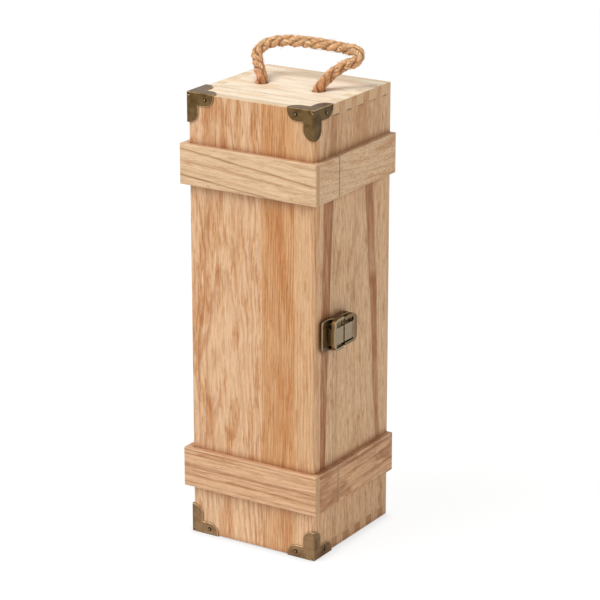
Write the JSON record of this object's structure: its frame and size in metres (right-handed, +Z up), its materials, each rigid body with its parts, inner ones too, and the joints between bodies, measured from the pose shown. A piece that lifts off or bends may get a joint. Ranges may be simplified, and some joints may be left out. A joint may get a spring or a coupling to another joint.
{
  "type": "wooden bottle box",
  "caption": "Tall wooden gift box for a single bottle, with a hinged front, wooden bands, metal corner brackets, a toggle latch and a rope carrying handle.",
  "frame": {"origin": "centre of the box's footprint, on the underside of the bottom board", "axes": "+Z up along the box's height, -Y towards the hinged lid, +X towards the latch side"},
  "size_m": [0.1293, 0.113, 0.3836],
  "materials": {
    "panel_wood": "planed softwood with clear wax, upright grain",
    "side_wood": "planed softwood with clear wax, upright grain",
    "end_board_wood": "planed pale softwood",
    "band_wood": "planed pale softwood, level grain",
    "antique_brass": "dark antiqued brass plate, edges worn bright",
    "latch_brass": "grey antiqued brass plate, edges worn bright",
    "jute_rope": "three-strand laid jute, slightly hairy"
  },
  "bodies": {
    "case": {"case_back_panel": "panel_wood", "case_left_side": "side_wood", "case_right_side": "side_wood", "case_top": "end_board_wood", "case_bottom": "end_board_wood", "case_upper_band_left": "band_wood", "case_upper_band_right": "band_wood", "case_lower_band_left": "band_wood", "case_lower_band_right": "band_wood", "upper_hinge_case_leaf": "antique_brass", "upper_hinge_pin": "antique_brass", "lower_hinge_case_leaf": "antique_brass", "lower_hinge_pin": "antique_brass", "hinge_case_nails": "antique_brass", "latch_base": "antique_brass", "latch_base_nails": "antique_brass", "latch_pivot_pin": "latch_brass", "rope_handle": "jute_rope", "rope_knot_left": "jute_rope", "rope_knot_right": "jute_rope"},
    "lid": {"lid_front_panel": "panel_wood", "lid_left_side": "side_wood", "lid_right_side": "side_wood", "lid_top": "end_board_wood", "lid_bottom": "end_board_wood", "lid_upper_band_front": "band_wood", "lid_upper_band_left": "band_wood", "lid_upper_band_right": "band_wood", "lid_lower_band_front": "band_wood", "lid_lower_band_left": "band_wood", "lid_lower_band_right": "band_wood", "bracket_top_left": "antique_brass", "bracket_top_right": "antique_brass", "bracket_bottom_left": "antique_brass", "bracket_bottom_right": "antique_brass", "bracket_nails": "antique_brass", "upper_hinge_lid_leaf": "antique_brass", "lower_hinge_lid_leaf": "antique_brass", "hinge_lid_nails": "antique_brass", "latch_keeper": "antique_brass", "latch_keeper_nails": "antique_brass"},
    "latch_lever": {"latch_lever": "latch_brass", "latch_loop_pin": "latch_brass"},
    "latch_loop": {"latch_loop": "latch_brass"}
  },
  "joints": [
    {"name": "lid_hinge", "type": "hinge", "parent": "case", "child": "lid", "pos_m": [-0.0623, -0.027, 0.175], "axis": [0, 0, -1], "range_deg": [0, 175]},
    {"name": "latch_lever_pivot", "type": "hinge", "parent": "case", "child": "latch_lever", "pos_m": [0.06, -0.0234, 0.177], "axis": [0, 0, -1], "range_deg": [0, 105]},
    {"name": "latch_loop_pivot", "type": "hinge", "parent": "latch_lever", "child": "latch_loop", "pos_m": [0.0594, -0.0176, 0.177], "axis": [0, 0, 1], "range_deg": [0, 127]}
  ],
  "couplings": [
    {"joint": "latch_loop_pivot", "follows": "latch_lever_pivot", "ratio": 1.2}
  ]
}
